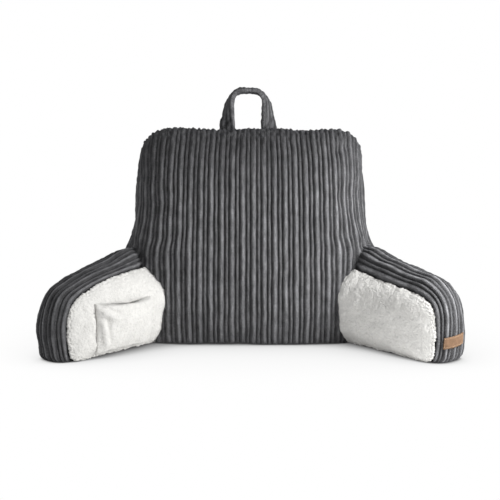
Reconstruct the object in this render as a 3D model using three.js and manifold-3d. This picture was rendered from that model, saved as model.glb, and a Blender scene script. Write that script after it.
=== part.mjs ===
// Backrest pillow: a filled wedge-shaped back cushion with a filled arm sewn to each side, in wide-ribbed
// plush. Each arm's inner face is a fleece panel, the left one with a patch pocket on it. A carry loop is
// sewn to the top of the back, and a plain patch to the end of the right arm.
// Millimetres. +Z is up, +X is to the right seen from the front, and the arms reach forward along -Y.
import * as THREE from "three";
import { mergeVertices } from "three/addons/utils/BufferGeometryUtils.js";
import Module from "manifold-3d";

const wasm = await Module();
wasm.setup();

// Driving sizes
const GAP = 0.35; // between pieces that are sewn or lie together
const BACK_HEIGHT = 404;
const BACK_MIDDLE = { low: 84, high: 112 }; // y of the back's mid thickness at its foot and its top
const TOP_CORNER = { start: 0.74, drop: 54, power: 2.6 }; // start is a share of the half width
const SIDE_ROUNDING = 4; // superellipse power of the back's plan, flat in the middle and round at the sides
const SIDE_THICKNESS = 0.08; // share of the full thickness that is left at the back's outermost loop
const BACK_LOOP_POINTS = 30;
const BACK_GIRTH = { halfWidth: 228, halfThickness: 105, steps: 2000 }; // to space the ribs evenly round it
const ARM_SPLAY = THREE.MathUtils.degToRad(33); // how far each arm turns outwards from straight ahead
const ARM_ROOT = new THREE.Vector2(220, 9); // plan position of the arm's middle plane at a = 0
const ARM_OUTER_SEAM = -35; // n of the outer seam, n being measured from the middle plane to the sitter
const ARM_SWELL = { inner: 20, outer: 20, root: 6, rootEnd: 110, power: 2.6 };
const ARM_LOOP_POINTS = 34;
const BAND_REPEATS = 5;
const FACE_RINGS = [0.25, 0.5, 0.72, 0.88];
const FACE_CENTRE = new THREE.Vector2(70, 62); // a and z where the arm's faces swell the most
const BAND_FULLNESS = 0.85;
const PILE = { middle: 9, edge: 3.5, reach: 0.985 }; // reach is how far a panel goes towards the seam
const POCKET = { from: 38, to: 172, foot: 10, mouth: 96, wall: 5.5, gape: 15, fullness: 0.8 };
const POCKET_LEVELS = [24, 42, 60, 78]; // heights of the pocket's loops between its foot and its mouth
const POCKET_COLUMNS = 12;
const POCKET_REAR = 42; // n of the rear of the block that the pocket is cut from, inside the arm
const CUT_DEPTH = 30; // how far a cutter runs on past the surface that it cuts along
const STRAP = { width: 32, thickness: 9.5, middle: -4, y: 128, steps: 28, sides: 16 };
const STRAP_GROOVE = { depth: 1.4, halfWidth: 4 };
const STRAP_SQUARENESS = 0.6;
const LABEL = { from: -0.5, to: 0.38, height: 19, low: 27, rise: 8, thickness: 1.6, columns: 10, rows: 3 };

// The ribbed plush: one wide and one narrow rib in each repeat.
const RIB = { repeat: 20, wideShare: 0.6, wideHeight: 2.4, narrowHeight: 1.7, fullness: 0.7 };
const RIB_STEPS = [0, 0.3, 0.6, 0.8]; // where a repeat has its furrows and crests

// Side view of the back cushion at its middle, from the front foot up, over the top and down the rear.
const BACK_PROFILE = [
  { y: -26, z: 0 },
  { y: -38, z: 8 },
  { y: -45, z: 50 },
  { y: -43, z: 130 },
  { y: -24, z: 210 },
  { y: 4, z: 290 },
  { y: 32, z: 350 },
  { y: 60, z: 388 },
  { y: 98, z: 404 },
  { y: 138, z: 398 },
  { y: 166, z: 368 },
  { y: 184, z: 300 },
  { y: 196, z: 200 },
  { y: 200, z: 90 },
  { y: 196, z: 10 },
  { y: 182, z: 0 },
];

// Half width of the back cushion at each height. It flares where the arms are sewn on.
const BACK_WIDTH = [
  { z: 0, left: 222, right: 222 },
  { z: 60, left: 232, right: 234 },
  { z: 120, left: 240, right: 244 },
  { z: 165, left: 246, right: 257 },
  { z: 185, left: 241, right: 252 },
  { z: 210, left: 232, right: 242 },
  { z: 237, left: 226, right: 233 },
  { z: 300, left: 222, right: 228 },
  { z: 350, left: 219, right: 225 },
  { z: 404, left: 216, right: 222 },
];

// Seam round each arm's inner face, in the arm's own plane: a runs along the arm from its root to its tip.
// crown is how far the band swells beyond the seams there, and inner is the n of the inner seam.
const RIGHT_SEAM = [
  { a: -95, z: 6, crown: 30, inner: 40 },
  { a: 20, z: 6, crown: 30, inner: 42 },
  { a: 150, z: 5, crown: 30, inner: 36 },
  { a: 204, z: 7, crown: 28, inner: 35 },
  { a: 214, z: 32, crown: 28, inner: 35 },
  { a: 214, z: 64, crown: 28, inner: 35 },
  { a: 202, z: 91, crown: 31, inner: 35 },
  { a: 176, z: 106, crown: 36, inner: 35 },
  { a: 127, z: 117, crown: 36, inner: 35 },
  { a: 62, z: 129, crown: 37, inner: 35 },
  { a: 0, z: 136, crown: 38, inner: 35 },
  { a: -95, z: 140, crown: 38, inner: 35 },
];
const LEFT_SEAM = [
  { a: -95, z: 6, crown: 30, inner: 42 },
  { a: 20, z: 5, crown: 30, inner: 43 },
  { a: 140, z: 5, crown: 32, inner: 37 },
  { a: 194, z: 7, crown: 36, inner: 35 },
  { a: 203, z: 30, crown: 39, inner: 35 },
  { a: 205, z: 68, crown: 39, inner: 35 },
  { a: 195, z: 99, crown: 34, inner: 35 },
  { a: 167, z: 119, crown: 24, inner: 35 },
  { a: 117, z: 136, crown: 20, inner: 35 },
  { a: 60, z: 142, crown: 25, inner: 35 },
  { a: 0, z: 144, crown: 31, inner: 30 },
  { a: -95, z: 144, crown: 34, inner: 28 },
];

// The right half of the carry loop's middle line, from its foot inside the back's top to the middle of its
// grip, with the turn of the strap's width away from X.
const STRAP_LINE = [
  { x: 42, z: 376, turn: 18 },
  { x: 40.5, z: 404, turn: 24 },
  { x: 36, z: 440, turn: 56 },
  { x: 30.5, z: 461, turn: 76 },
  { x: 19, z: 475, turn: 90 },
  { x: 0, z: 479.5, turn: 90 },
];

const clamp = THREE.MathUtils.clamp;
const smooth = THREE.MathUtils.smoothstep;
const lerp = THREE.MathUtils.lerp;

// Reads one column of a table at a place along another, with a smooth curve between the rows.
function column(table, key, value) {
  return (at) => {
    const x = clamp(at, table[0][key], table.at(-1)[key]);
    const i = clamp(table.findIndex((row) => row[key] >= x), 1, table.length - 1);
    const rows = [i - 2, i - 1, i, i + 1].map((k) => table[clamp(k, 0, table.length - 1)]);
    const [before, low, high, after] = rows;
    const span = high[key] - low[key];
    const t = (x - low[key]) / span;
    const slopeLow = ((high[value] - before[value]) / (high[key] - before[key])) * span;
    const slopeHigh = ((after[value] - low[value]) / (after[key] - low[key])) * span;
    const ends = (2 * t ** 3 - 3 * t ** 2 + 1) * low[value] + (3 * t ** 2 - 2 * t ** 3) * high[value];
    return ends + (t ** 3 - 2 * t ** 2 + t) * slopeLow + (t ** 3 - t ** 2) * slopeHigh;
  };
}

// Height of the rib at a place in the repeat, where whole numbers are furrows.
function ribHeight(phase) {
  const t = phase - Math.floor(phase);
  const wide = t < RIB.wideShare;
  const along = wide ? t / RIB.wideShare : (t - RIB.wideShare) / (1 - RIB.wideShare);
  return (wide ? RIB.wideHeight : RIB.narrowHeight) * Math.sin(Math.PI * along) ** RIB.fullness;
}

// A closed surface through a stack of loops with equal numbers of points, closed at both ends by a fan.
function loft(loops) {
  const count = loops[0].length;
  const points = loops.flat();
  const faces = [];
  for (let i = 0; i + 1 < loops.length; i++) {
    for (let j = 0; j < count; j++) {
      const a = i * count + j;
      const b = i * count + ((j + 1) % count);
      faces.push(a, b, b + count, a, b + count, a + count);
    }
  }
  for (const row of [0, loops.length - 1]) {
    const middle = loops[row].reduce((sum, p) => sum.add(p), new THREE.Vector3());
    points.push(middle.divideScalar(count));
    for (let j = 0; j < count; j++) {
      const a = row * count + j;
      const b = row * count + ((j + 1) % count);
      faces.push(...(row === 0 ? [b, a] : [a, b]), points.length - 1);
    }
  }
  return shell(points, faces);
}

// A geometry from points and faces, with its faces turned outwards.
function shell(points, faces) {
  let volume = 0;
  for (let i = 0; i < faces.length; i += 3) {
    const [a, b, c] = faces.slice(i, i + 3).map((k) => points[k]);
    volume += a.dot(b.clone().cross(c));
  }
  const geometry = new THREE.BufferGeometry().setFromPoints(points);
  geometry.setIndex(volume > 0 ? faces : faces.toReversed());
  geometry.computeVertexNormals();
  return geometry;
}

// Moves each point of a geometry along its normal by what relief says for that point's index.
function raise(geometry, relief) {
  const position = geometry.getAttribute("position");
  const normal = geometry.getAttribute("normal");
  const point = new THREE.Vector3();
  const out = new THREE.Vector3();
  for (let i = 0; i < position.count; i++) {
    point.fromBufferAttribute(position, i);
    out.fromBufferAttribute(normal, i);
    point.addScaledVector(out, relief(i, point));
    position.setXYZ(i, point.x, point.y, point.z);
  }
  return geometry;
}

// Presses everything below the floor flat onto it.
function standOnFloor(geometry) {
  const position = geometry.getAttribute("position");
  for (let i = 0; i < position.count; i++) position.setZ(i, Math.max(0, position.getZ(i)));
  return geometry;
}

function solidOf(geometry) {
  const bare = geometry.clone();
  bare.deleteAttribute("normal");
  const merged = mergeVertices(bare, 1e-4);
  const vertProperties = new Float32Array(merged.getAttribute("position").array);
  const triVerts = new Uint32Array(merged.index.array);
  return new wasm.Manifold(new wasm.Mesh({ numProp: 3, vertProperties, triVerts }));
}

function geometryOf(solid) {
  const { vertProperties, triVerts } = solid.getMesh();
  const geometry = new THREE.BufferGeometry();
  geometry.setAttribute("position", new THREE.BufferAttribute(vertProperties, 3));
  geometry.setIndex(new THREE.BufferAttribute(triVerts, 1));
  return geometry;
}

// Back cushion

const widthOnSide = { left: column(BACK_WIDTH, "z", "left"), right: column(BACK_WIDTH, "z", "right") };
const backCurve = new THREE.CatmullRomCurve3(
  BACK_PROFILE.map(({ y, z }) => new THREE.Vector3(0, y, z)),
  true,
  "centripetal",
);
const backOutline = backCurve.getPoints(BACK_LOOP_POINTS).slice(0, -1);

function topDrop(u) {
  const past = Math.max(0, Math.abs(u) - TOP_CORNER.start) / (1 - TOP_CORNER.start);
  return TOP_CORNER.drop * past ** TOP_CORNER.power;
}

function thicknessShare(u) {
  return (1 - Math.abs(u) ** SIDE_ROUNDING) ** (1 / SIDE_ROUNDING);
}

// One upright loop of the back cushion at u, which runs from -1 at its left side to 1 at its right.
function backLoop(u) {
  const lift = 1 - topDrop(u) / BACK_HEIGHT;
  const share = Math.max(thicknessShare(u), SIDE_THICKNESS);
  const halfWidth = u < 0 ? widthOnSide.left : widthOnSide.right;
  return backOutline.map(({ y, z }) => {
    const middle = lerp(BACK_MIDDLE.low, BACK_MIDDLE.high, z / BACK_HEIGHT);
    const height = Math.max(0, z) * lift;
    return new THREE.Vector3(u * halfWidth(height), middle + (y - middle) * share, height);
  });
}

// Places across the back where the ribs have their furrows and crests, even along the cloth.
function ribColumns() {
  const { halfWidth, halfThickness, steps } = BACK_GIRTH;
  const along = [0];
  for (let i = 1; i <= steps; i++) {
    const rise = halfThickness * (thicknessShare(i / steps) - thicknessShare((i - 1) / steps));
    along.push(along.at(-1) + Math.hypot(halfWidth / steps, rise));
  }
  const repeats = Math.floor(along.at(-1) / RIB.repeat);
  const phases = [];
  for (let k = -repeats; k < repeats; k++) phases.push(...RIB_STEPS.map((step) => k + step));
  phases.push(repeats);
  return phases.map((phase) => {
    const length = (Math.abs(phase) / repeats) * along.at(-1);
    const i = along.findIndex((s) => s >= length - 1e-6);
    return { phase, u: (Math.sign(phase) * i) / steps };
  });
}

// The ribs end where an arm is sewn on, and at the foot.
function ribFade({ x, z }) {
  const besideArm = smooth(Math.abs(x), 180, 200) * (1 - smooth(z, 150, 176));
  return (1 - besideArm) * smooth(z, 1, 10);
}

function backGeometry(grow) {
  const columns = ribColumns();
  const geometry = loft(columns.map(({ u }) => backLoop(u)));
  const perLoop = backOutline.length;
  return raise(geometry, (i, point) => {
    const at = columns[Math.floor(i / perLoop)];
    return grow + (at ? ribHeight(at.phase) * ribFade(point) : 0);
  });
}

// Arms

// Carries a point of the arm's own plane to its place in the pillow.
function armPoint(side, a, n, z) {
  const along = Math.sin(ARM_SPLAY);
  const across = Math.cos(ARM_SPLAY);
  const x = ARM_ROOT.x + a * along - n * across;
  const y = ARM_ROOT.y - a * across - n * along;
  return new THREE.Vector3(side * x, y, z);
}

// The seam as evenly spaced places, each with its outward direction, its band's crown and its inner n.
function seamPlaces(table) {
  const curveOf = (toPoint) => {
    const curve = new THREE.CatmullRomCurve3(table.map(toPoint), true, "centripetal");
    return curve.getPoints(ARM_LOOP_POINTS).slice(0, -1);
  };
  const points = curveOf(({ a, z, crown }) => new THREE.Vector3(a, z, crown));
  const inners = curveOf(({ a, z, inner }) => new THREE.Vector3(a, z, inner));
  return points.map((p, i) => {
    const before = points.at(i - 1);
    const after = points[(i + 1) % points.length];
    const out = new THREE.Vector2(after.y - before.y, before.x - after.x).normalize();
    return { at: new THREE.Vector2(p.x, p.y), out, crown: p.z, inner: inners[i].z };
  });
}

// How far the inner face swells beyond its seam at a. rho is 0 in the face's middle and 1 at the seam.
function innerSwell(a, rho) {
  const atRoot = ARM_SWELL.root * (1 - smooth(a, 0, ARM_SWELL.rootEnd));
  return (ARM_SWELL.inner + atRoot) * (1 - rho ** ARM_SWELL.power);
}

// A ring of the inner face, lifted off it by lift.
function innerRing(side, places, rho, lift) {
  return places.map(({ at, inner }) => {
    const p = FACE_CENTRE.clone().lerp(at, rho);
    return armPoint(side, p.x, inner + innerSwell(p.x, rho) + lift, p.y);
  });
}

function outerRing(side, places, rho) {
  const n = ARM_OUTER_SEAM - ARM_SWELL.outer * (1 - rho ** ARM_SWELL.power);
  return places.map(({ at }) => {
    const p = FACE_CENTRE.clone().lerp(at, rho);
    return armPoint(side, p.x, n, p.y);
  });
}

// A place on the band at t, from -1 at the inner seam to 1 at the outer, raised off it by lift.
function bandPoint(side, { at, out, crown, inner }, t, lift) {
  const angle = (t * Math.PI) / 2;
  const reach = crown * Math.cos(angle) ** BAND_FULLNESS + lift * Math.cos(angle);
  const middle = (inner + ARM_OUTER_SEAM) / 2;
  const n = middle - ((inner - ARM_OUTER_SEAM) / 2 + lift) * Math.sin(angle);
  return armPoint(side, at.x + out.x * reach, n, at.y + out.y * reach);
}

function armGeometry(side, places) {
  const loops = FACE_RINGS.map((rho) => innerRing(side, places, rho, 0));
  for (let k = 0; k < BAND_REPEATS; k++) {
    for (const step of RIB_STEPS) {
      const t = (2 * (k + step)) / BAND_REPEATS - 1;
      loops.push(places.map((place) => bandPoint(side, place, t, ribHeight(step))));
    }
  }
  loops.push(places.map((place) => bandPoint(side, place, 1, 0)));
  loops.push(...FACE_RINGS.toReversed().map((rho) => outerRing(side, places, rho)));
  return standOnFloor(loft(loops));
}

// Fleece panel on the arm's inner face, a soft slab that follows it. under is how far its underside stands
// off the arm, and grow widens it all round.
function panelGeometry(side, places, under, grow) {
  const thick = (rho) => PILE.edge + (PILE.middle - PILE.edge) * Math.sqrt(1 - rho ** 4);
  const rings = [...FACE_RINGS, PILE.reach];
  const loops = rings.map((rho) => innerRing(side, places, rho, under));
  loops.push(...rings.toReversed().map((rho) => innerRing(side, places, rho, GAP + thick(rho))));
  return raise(loft(loops), () => grow);
}

// Patch pocket

// The n of the arm's inner face at a and z.
function innerFaceAt(places, a, z) {
  const aim = new THREE.Vector2(a, z).sub(FACE_CENTRE);
  for (let i = 0; i < places.length; i++) {
    const from = places[i].at.clone().sub(FACE_CENTRE);
    const edge = places[(i + 1) % places.length].at.clone().sub(FACE_CENTRE).sub(from);
    const facing = aim.cross(edge);
    const reach = from.cross(edge) / facing;
    const share = from.cross(aim) / facing;
    if (reach > 0 && share >= 0 && share <= 1) {
      const seam = lerp(places[i].inner, places[(i + 1) % places.length].inner, share);
      return seam + innerSwell(a, Math.min(1, 1 / reach));
    }
  }
  return ARM_SWELL.inner - ARM_OUTER_SEAM;
}

// A block from inside the arm out to a face that stands off the fleece. inset draws it in from the pocket's
// outside to the inside of its wall, and raised lets it run out above the mouth.
function pocketBlock(side, places, inset, raised) {
  const levels = [POCKET.foot + inset, ...POCKET_LEVELS, POCKET.mouth];
  if (raised > 0) levels.push(POCKET.mouth + raised);
  const loops = levels.map((z) => {
    const height = Math.min(z, POCKET.mouth);
    const open = smooth(height, 0, POCKET.mouth) ** POCKET.fullness;
    const front = [];
    for (let i = 0; i <= POCKET_COLUMNS; i++) {
      const s = (2 * i) / POCKET_COLUMNS - 1;
      const a = lerp(POCKET.from + inset, POCKET.to - inset, i / POCKET_COLUMNS);
      const fleece = innerFaceAt(places, a, height) + PILE.middle;
      front.push({ a, n: fleece + POCKET.wall + POCKET.gape * open * (1 - s ** 4) - inset });
    }
    const rear = [front.at(-1), front[0]].map(({ a }) => ({ a, n: POCKET_REAR }));
    return [...front, ...rear].map(({ a, n }) => armPoint(side, a, n, z));
  });
  return solidOf(loft(loops));
}

function pocketGeometry(side, places) {
  const outside = pocketBlock(side, places, 0, 0);
  const inside = pocketBlock(side, places, POCKET.wall, CUT_DEPTH);
  const fleece = solidOf(panelGeometry(side, places, -CUT_DEPTH, GAP));
  return geometryOf(outside.subtract(inside).subtract(fleece));
}

// Carry loop

// The strap's section, two ribs wide: u is along its width and v through it.
function strapSection() {
  const section = [];
  for (let i = 0; i < STRAP.sides; i++) {
    const angle = (2 * Math.PI * i) / STRAP.sides;
    const c = Math.cos(angle);
    const s = Math.sin(angle);
    const u = (STRAP.width / 2) * Math.sign(c) * Math.abs(c) ** STRAP_SQUARENESS;
    const groove = STRAP_GROOVE.depth * Math.exp(-((u / STRAP_GROOVE.halfWidth) ** 2));
    const face = (STRAP.thickness / 2) * Math.abs(s) ** STRAP_SQUARENESS;
    section.push({ u, v: Math.sign(s) * (face - groove) });
  }
  return section;
}

function strapGeometry() {
  const left = STRAP_LINE.slice(0, -1).toReversed().map(({ x, z, turn }) => ({ x: -x, z, turn: 180 - turn }));
  const knots = [...STRAP_LINE, ...left];
  const line = new THREE.CatmullRomCurve3(knots.map(({ x, z }) => new THREE.Vector3(x, STRAP.y, z)));
  const turns = new THREE.CatmullRomCurve3(knots.map(({ turn }, i) => new THREE.Vector3(i, turn, 0)));
  const section = strapSection();
  const loops = [];
  for (let i = 0; i <= STRAP.steps; i++) {
    const t = i / STRAP.steps;
    const centre = line.getPoint(t).add(new THREE.Vector3(STRAP.middle, 0, 0));
    const tangent = line.getTangent(t);
    const turn = THREE.MathUtils.degToRad(turns.getPoint(t).y);
    const width = new THREE.Vector3(Math.cos(turn), Math.sin(turn), 0);
    width.addScaledVector(tangent, -width.dot(tangent)).normalize();
    const through = tangent.clone().cross(width);
    const place = ({ u, v }) => centre.clone().addScaledVector(width, u).addScaledVector(through, v);
    loops.push(section.map(place));
  }
  return loft(loops);
}

// Bare patch on the end of the arm, over the ribs.
function labelGeometry(side, places) {
  const tip = places.filter(({ at, out }) => at.x > 150 && out.x > 0.2).sort((p, q) => p.at.y - q.at.y);
  const atHeight = (z) => {
    const i = clamp(tip.findIndex(({ at }) => at.y >= z), 1, tip.length - 1);
    const [low, high] = [tip[i - 1], tip[i]];
    const share = (z - low.at.y) / (high.at.y - low.at.y);
    const at = low.at.clone().lerp(high.at, share);
    const out = low.out.clone().lerp(high.out, share).normalize();
    return { at, out, crown: lerp(low.crown, high.crown, share), inner: lerp(low.inner, high.inner, share) };
  };
  const loops = [];
  for (let i = 0; i <= LABEL.columns; i++) {
    const across = i / LABEL.columns;
    const t = lerp(LABEL.from, LABEL.to, across);
    const low = LABEL.low + LABEL.rise * across;
    const rows = [];
    for (let j = 0; j <= LABEL.rows; j++) rows.push(atHeight(low + (LABEL.height * j) / LABEL.rows));
    const lift = RIB.wideHeight + GAP;
    const under = rows.map((place) => bandPoint(side, place, t, lift));
    const over = rows.toReversed().map((place) => bandPoint(side, place, t, lift + LABEL.thickness));
    loops.push([...under, ...over]);
  }
  return loft(loops);
}

const part = new THREE.Group();

function add(name, geometry, colour) {
  const material = new THREE.MeshStandardMaterial({ color: colour, roughness: 0.95, metalness: 0 });
  const mesh = new THREE.Mesh(geometry, material);
  mesh.name = name;
  part.add(mesh);
}

const PLUSH = 0x4d4d50;
const FLEECE = 0xe9e8e2;
const TAN = 0xb98d68;

const backRoom = solidOf(backGeometry(GAP));
const leftPlaces = seamPlaces(LEFT_SEAM);
const rightPlaces = seamPlaces(RIGHT_SEAM);
add("back_cushion", standOnFloor(backGeometry(0)), PLUSH);
for (const [name, side, places] of [["left", -1, leftPlaces], ["right", 1, rightPlaces]]) {
  const arm = solidOf(armGeometry(side, places)).subtract(backRoom);
  const panel = solidOf(standOnFloor(panelGeometry(side, places, GAP, 0))).subtract(backRoom);
  add(`arm_${name}`, geometryOf(arm), PLUSH);
  add(`inner_panel_${name}`, geometryOf(panel), FLEECE);
}
add("pocket_left", pocketGeometry(-1, leftPlaces), FLEECE);
add("handle", geometryOf(solidOf(strapGeometry()).subtract(backRoom)), PLUSH);
add("label", labelGeometry(1, rightPlaces), TAN);

// The origin is the middle of the footprint.
const middle = new THREE.Box3().setFromObject(part).getCenter(new THREE.Vector3());
part.position.set(-middle.x, -middle.y, 0);

export default part;
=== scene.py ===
"""Backrest pillow in wide-ribbed plush with fleece inner arms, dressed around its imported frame."""
import functools
import math

import bpy
import numpy as np
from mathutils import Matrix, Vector
from mathutils.bvhtree import BVHTree


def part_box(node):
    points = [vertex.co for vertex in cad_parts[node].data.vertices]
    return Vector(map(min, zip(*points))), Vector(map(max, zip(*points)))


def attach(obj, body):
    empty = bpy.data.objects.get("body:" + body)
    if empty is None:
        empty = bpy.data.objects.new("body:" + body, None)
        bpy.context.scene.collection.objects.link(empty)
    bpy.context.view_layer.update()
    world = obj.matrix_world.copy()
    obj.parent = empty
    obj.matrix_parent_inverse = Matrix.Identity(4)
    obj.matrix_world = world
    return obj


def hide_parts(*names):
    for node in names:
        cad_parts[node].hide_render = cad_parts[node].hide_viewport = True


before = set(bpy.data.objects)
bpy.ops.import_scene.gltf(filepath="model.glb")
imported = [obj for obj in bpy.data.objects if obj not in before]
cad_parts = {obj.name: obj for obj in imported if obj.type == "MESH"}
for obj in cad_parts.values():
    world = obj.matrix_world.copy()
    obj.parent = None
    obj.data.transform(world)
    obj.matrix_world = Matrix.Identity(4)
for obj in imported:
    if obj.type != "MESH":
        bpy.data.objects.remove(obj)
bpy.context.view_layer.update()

bl_info = {
    "name": "Backrest pillow",
    "version": (1, 0, 0),
    "blender": (4, 5, 0),
    "location": "3D View > Sidebar > Pillow",
    "description": "Builds a ribbed plush backrest pillow with fleece inner arms",
    "category": "Add Mesh",
}

BODY = "root"
MM = 0.001

# The pillow's own shape, in millimetres. u runs across the back from -1 to 1. In an arm, a runs from its root
# to its tip, n from its middle plane towards the sitter, and z is height.
BACK_HEIGHT = 404
BACK_MIDDLE = (84, 112)  # y of the mid thickness at the foot and at the top
CORNER_START = 0.69  # the u where the top edge starts to drop
CORNER_DROP = 52
SIDE_ROUNDING = 4  # superellipse power of the back's plan
SIDE_FLARE = 5
SIDE_THICKNESS = 0.005  # share of the thickness left at the side seam
BACK_HALF_WIDTH = 228
BACK_HALF_THICKNESS = 105
ARM_SPLAY = math.radians(33)
ARM_ROOT = (220, 9)
TIP_SLANT = 0.25
TIP_SPAN = (90, 210)  # the a between which the slant of the tip comes in
OUTER_SEAM = -35
INNER_SEAM = 37
SWELL = 20
ROOT_SWELL = 6
ROOT_END = 110
SWELL_POWER = 2.6
FACE_CENTRE = np.array([70.0, 62.0])
BAND_REPEATS = 5
BAND_FULLNESS = 0.85
ROOT_BULGE = {-1: 11, 1: 4}  # how far each panel bulges where the arm meets the back
BULGE_CENTRE, BULGE_SIZE = (5, 85), (40, 32)
PILE_THICKNESS = 9
PILE_EDGE = 3.5
POCKET_FROM, POCKET_TO = 38, 164
POCKET_FOOT, POCKET_MOUTH = 10, 96
POCKET_WALL = 5.5
POCKET_GAPE = 15
STRAP_CENTRE = (-4, 128)
STRAP_WIDTH, STRAP_THICKNESS = 32, 12
LABEL_SPAN = (-0.6, 0.3)
LABEL_LOW, LABEL_HEIGHT, LABEL_RISE = 29, 17, 4
THREAD_RADIUS = 0.00032  # in metres

# y and z round the back's side view, from the front foot up, over the top and down the rear.
BACK_PROFILE = [
    (-34, 0), (-46, 8), (-49, 50), (-45, 130), (-25, 210), (4, 290), (32, 350), (60, 388),
    (98, 404), (138, 398), (166, 368), (184, 300), (196, 200), (200, 90), (196, 10), (182, 0),
]
# Height, and half width at the left and the right.
BACK_WIDTH = [
    (0, 222, 222), (60, 230, 230), (120, 236, 236), (165, 241, 241), (185, 232, 233),
    (210, 224, 225), (237, 219, 221), (300, 219, 221), (350, 220, 220), (404, 223, 220),
]
# a and z of the arm's seams, the band's crown beyond them, and the n of the inner seam.
RIGHT_SEAM = [
    (-95, 3, 30, 40), (20, 3, 30, 42), (150, 2, 28, 40), (212, 4, 20, 39),
    (222, 28, 19, 38), (222, 66, 19, 36), (211, 95, 23, 35), (182, 111, 27, 35),
    (127, 120, 30, 35), (62, 130, 33, 35), (0, 139, 45, 35), (-95, 142, 62, 35),
]
LEFT_SEAM = [
    (-95, 3, 30, 42), (20, 2, 30, 43), (140, 2, 30, 40), (202, 4, 27, 38),
    (214, 30, 26, 36), (215, 68, 26, 35), (202, 97, 25, 35), (170, 116, 19, 35),
    (117, 132, 16, 35), (60, 139, 22, 34), (0, 142, 37, 30), (-95, 143, 54, 28),
]
# x, z and turn of the carry loop's middle line, from its right foot to the middle of its grip.
STRAP_LINE = [
    (42, 376, 18), (41.5, 404, 24), (38, 441, 56), (33.5, 462, 76), (20.5, 475.5, 90), (0, 477.8, 90),
]

# Start, end and width of the dent in the back's corner, in x and z, and of the pocket's folds, in a and z.
BACK_DENT = [((158, 352), (196, 374), 9)]
POCKET_CREASES = [((160, 92), (132, 78), 4), ((152, 70), (142, 24), 4)]
POCKET_RIDGES = [((158, 82), (132, 66), 6), ((158, 66), (150, 18), 5)]

SIDES = {"left": -1, "right": 1}
SEAMS = {-1: LEFT_SEAM, 1: RIGHT_SEAM}

# How the coarse covers are filled: the pressure, the furthest a point may move, and the number of frames.
BACK_PRESSURE, BACK_CAP = 3.0, 4.5
ARM_PRESSURE, ARM_CAP = 3.0, 4.0
TRIAL_FRAMES = 20

# Points round the coarse and the fine grids, and the rings of the arms, as shares of the way to the seam.
BACK_POINTS = {"coarse": 48, "fine": 220}
ARM_POINTS = {"coarse": 56, "fine": 300}
PANEL_POINTS = 560
COARSE_INNER, COARSE_BAND, COARSE_OUTER = [0.2, 0.6], 11, [0.9, 0.75, 0.6, 0.45, 0.3, 0.15]
FINE_INNER, FINE_OUTER = [0.2, 0.5, 0.8, 0.93], np.linspace(0.988, 0.03, 58)

# Points across a rib repeat, how far furrows lie under the cover, and where across a rib the painted
# highlight lies.
RIB_COLUMNS = 15
RIB_FOOT = 1.6
PAINTED_HIGHLIGHT_AT, PAINTED_HIGHLIGHT_WIDTH, NARROW_PAINTED_HIGHLIGHT = 0.62, 0.27, 0.62

strap_low, strap_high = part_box("handle")
SHIFT = np.array([
    (strap_low.x + strap_high.x) / 2 / MM - STRAP_CENTRE[0],
    (strap_low.y + strap_high.y) / 2 / MM - STRAP_CENTRE[1],
    0.0,
])


# Curves, grids and noise

def smooth_step(x, low, high):
    t = np.clip((x - low) / (high - low), 0, 1)
    return t * t * (3 - 2 * t)


def dense_curve(points, closed, power=0.5, per_span=24):
    """Points of a smooth curve through the given ones, with any number of values in each."""
    p = np.array(points, dtype=float)
    if closed:
        p = np.vstack([p[-1], p, p[:2]])
    else:
        p = np.vstack([2 * p[0] - p[1], p, 2 * p[-1] - p[-2]])
    steps = np.linalg.norm(np.diff(p[:, :2], axis=0), axis=1) ** power
    knots = np.concatenate([[0], np.cumsum(np.maximum(steps, 1e-6))])
    slope = (p[2:] - p[:-2]) / (knots[2:] - knots[:-2])[:, None]
    out = []
    for i in range(1, len(p) - 2):
        t = np.linspace(0, 1, per_span, endpoint=False)[:, None]
        span = knots[i + 1] - knots[i]
        ends = (2 * t**3 - 3 * t**2 + 1) * p[i] + (3 * t**2 - 2 * t**3) * p[i + 1]
        out.append(ends + span * ((t**3 - 2 * t**2 + t) * slope[i - 1] + (t**3 - t**2) * slope[i]))
    curve = np.vstack(out)
    return curve if closed else np.vstack([curve, p[-2]])


def even_points(curve, count, closed):
    """count points evenly spaced along a dense curve, and how far along each one is."""
    if closed:
        curve = np.vstack([curve, curve[:1]])
    length = np.concatenate([[0], np.cumsum(np.linalg.norm(np.diff(curve[:, :2], axis=0), axis=1))])
    at = np.linspace(0, length[-1], count, endpoint=not closed)
    points = np.stack([np.interp(at, length, curve[:, k]) for k in range(curve.shape[1])], axis=1)
    return points, at


def resample(grid, count, axis, closed):
    """A grid with its rows or columns brought to count by a smooth curve through the old ones."""
    old = grid.shape[axis]
    at = np.arange(count) * old / count if closed else np.linspace(0, old - 1, count)
    i = np.minimum(np.floor(at).astype(int), old - 1 if closed else old - 2)
    t = (at - i).reshape([-1 if k == axis else 1 for k in range(grid.ndim)])

    def pick(k):
        return np.take(grid, (i + k) % old if closed else np.clip(i + k, 0, old - 1), axis=axis)

    before, low, high, after = (pick(k) for k in (-1, 0, 1, 2))
    second = 2 * before - 5 * low + 4 * high - after
    third = 3 * (low - high) + after - before
    return low + 0.5 * t * (high - before + t * (second + t * third))


def grid_quads(rows, cols):
    """Corner numbers of the faces of a grid that is closed round its columns."""
    index = np.arange(rows * cols).reshape(rows, cols)
    beside = np.roll(index, -1, axis=1)
    return np.stack([index[:-1], beside[:-1], beside[1:], index[1:]], axis=-1).reshape(-1, 4)


def inside_out(grid):
    points = grid.reshape(-1, 3)
    points = points - points.mean(axis=0)
    a, b, c, d = (points[corner] for corner in grid_quads(*grid.shape[:2]).T)
    return np.sum(np.cross(a, b) * c + np.cross(a, c) * d) < 0


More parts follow.
